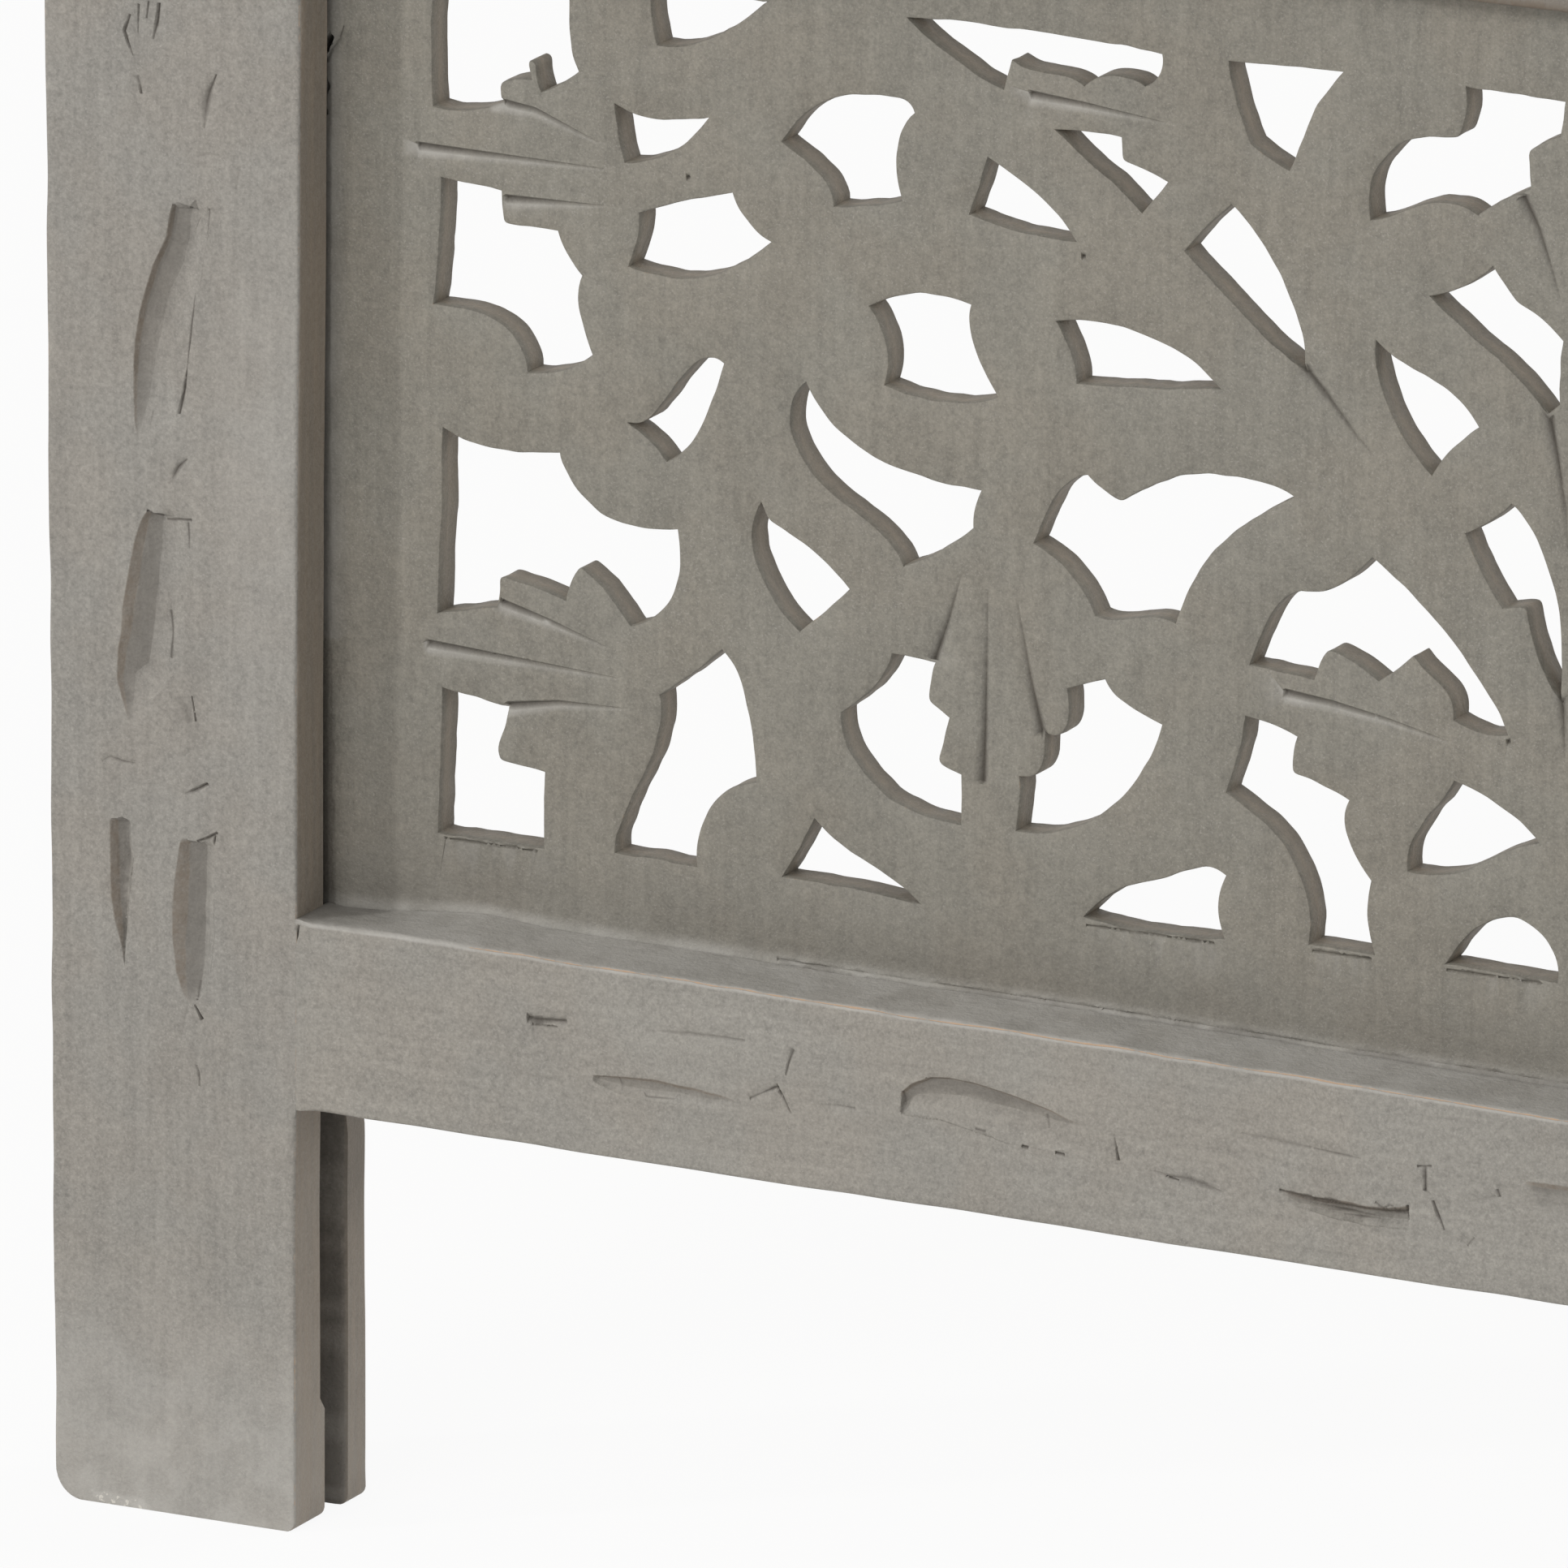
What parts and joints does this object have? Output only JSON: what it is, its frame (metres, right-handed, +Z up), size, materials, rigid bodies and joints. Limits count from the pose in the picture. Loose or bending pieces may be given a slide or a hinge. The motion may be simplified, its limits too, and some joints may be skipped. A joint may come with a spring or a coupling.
{
  "type": "carved folding screen",
  "caption": "Free-standing folding room screen: grooved stiles and rails hold pierced floral lattice boards, and butt hinges join the panels.",
  "frame": {"origin": "on the floor, at the middle of the bounding box's foot, which is below the middle panel's centre", "axes": "+Z up, +X to the right along the screen seen from the front, +Y from the front to the back"},
  "size_m": [1.4684, 0.1944, 1.829],
  "materials": {
    "stile_paint": "worn grey-brown paint on wood",
    "rail_paint": "worn grey-brown paint on wood",
    "jali_paint": "worn dark grey-brown paint on carved wood",
    "hinge_iron": "aged dark iron",
    "screw_steel": "dulled steel"
  },
  "bodies": {
    "left_panel": {"left_panel_left_stile": "stile_paint", "left_panel_right_stile": "stile_paint", "left_panel_bottom_rail": "rail_paint", "left_panel_lower_rail": "rail_paint", "left_panel_middle_rail": "rail_paint", "left_panel_upper_rail": "rail_paint", "left_panel_top_rail": "rail_paint", "left_panel_bottom_jali": "jali_paint", "left_panel_lower_jali": "jali_paint", "left_panel_upper_jali": "jali_paint", "left_panel_top_jali": "jali_paint", "left_panel_screws": "screw_steel", "left_lower_hinge_near_leaf": "hinge_iron", "left_lower_hinge_pin": "hinge_iron", "left_middle_hinge_near_leaf": "hinge_iron", "left_middle_hinge_pin": "hinge_iron", "left_upper_hinge_near_leaf": "hinge_iron", "left_upper_hinge_pin": "hinge_iron"},
    "middle_panel": {"middle_panel_left_stile": "stile_paint", "middle_panel_right_stile": "stile_paint", "middle_panel_bottom_rail": "rail_paint", "middle_panel_lower_rail": "rail_paint", "middle_panel_middle_rail": "rail_paint", "middle_panel_upper_rail": "rail_paint", "middle_panel_top_rail": "rail_paint", "middle_panel_bottom_jali": "jali_paint", "middle_panel_lower_jali": "jali_paint", "middle_panel_upper_jali": "jali_paint", "middle_panel_top_jali": "jali_paint", "middle_panel_screws": "screw_steel", "left_lower_hinge_far_leaf": "hinge_iron", "left_middle_hinge_far_leaf": "hinge_iron", "left_upper_hinge_far_leaf": "hinge_iron", "right_lower_hinge_near_leaf": "hinge_iron", "right_lower_hinge_pin": "hinge_iron", "right_middle_hinge_near_leaf": "hinge_iron", "right_middle_hinge_pin": "hinge_iron", "right_upper_hinge_near_leaf": "hinge_iron", "right_upper_hinge_pin": "hinge_iron"},
    "right_panel": {"right_panel_left_stile": "stile_paint", "right_panel_right_stile": "stile_paint", "right_panel_bottom_rail": "rail_paint", "right_panel_lower_rail": "rail_paint", "right_panel_middle_rail": "rail_paint", "right_panel_upper_rail": "rail_paint", "right_panel_top_rail": "rail_paint", "right_panel_bottom_jali": "jali_paint", "right_panel_lower_jali": "jali_paint", "right_panel_upper_jali": "jali_paint", "right_panel_top_jali": "jali_paint", "right_panel_screws": "screw_steel", "right_lower_hinge_far_leaf": "hinge_iron", "right_middle_hinge_far_leaf": "hinge_iron", "right_upper_hinge_far_leaf": "hinge_iron"}
  },
  "joints": [
    {"name": "left_fold", "type": "hinge", "parent": "left_panel", "child": "middle_panel", "pos_m": [-0.2459, -0.0729, 0.9145], "axis": [0, 0, 1], "range_deg": [-40, 140]},
    {"name": "right_fold", "type": "hinge", "parent": "middle_panel", "child": "right_panel", "pos_m": [0.2459, 0.0729, 0.9145], "axis": [0, 0, -1], "range_deg": [-40, 140]}
  ]
}
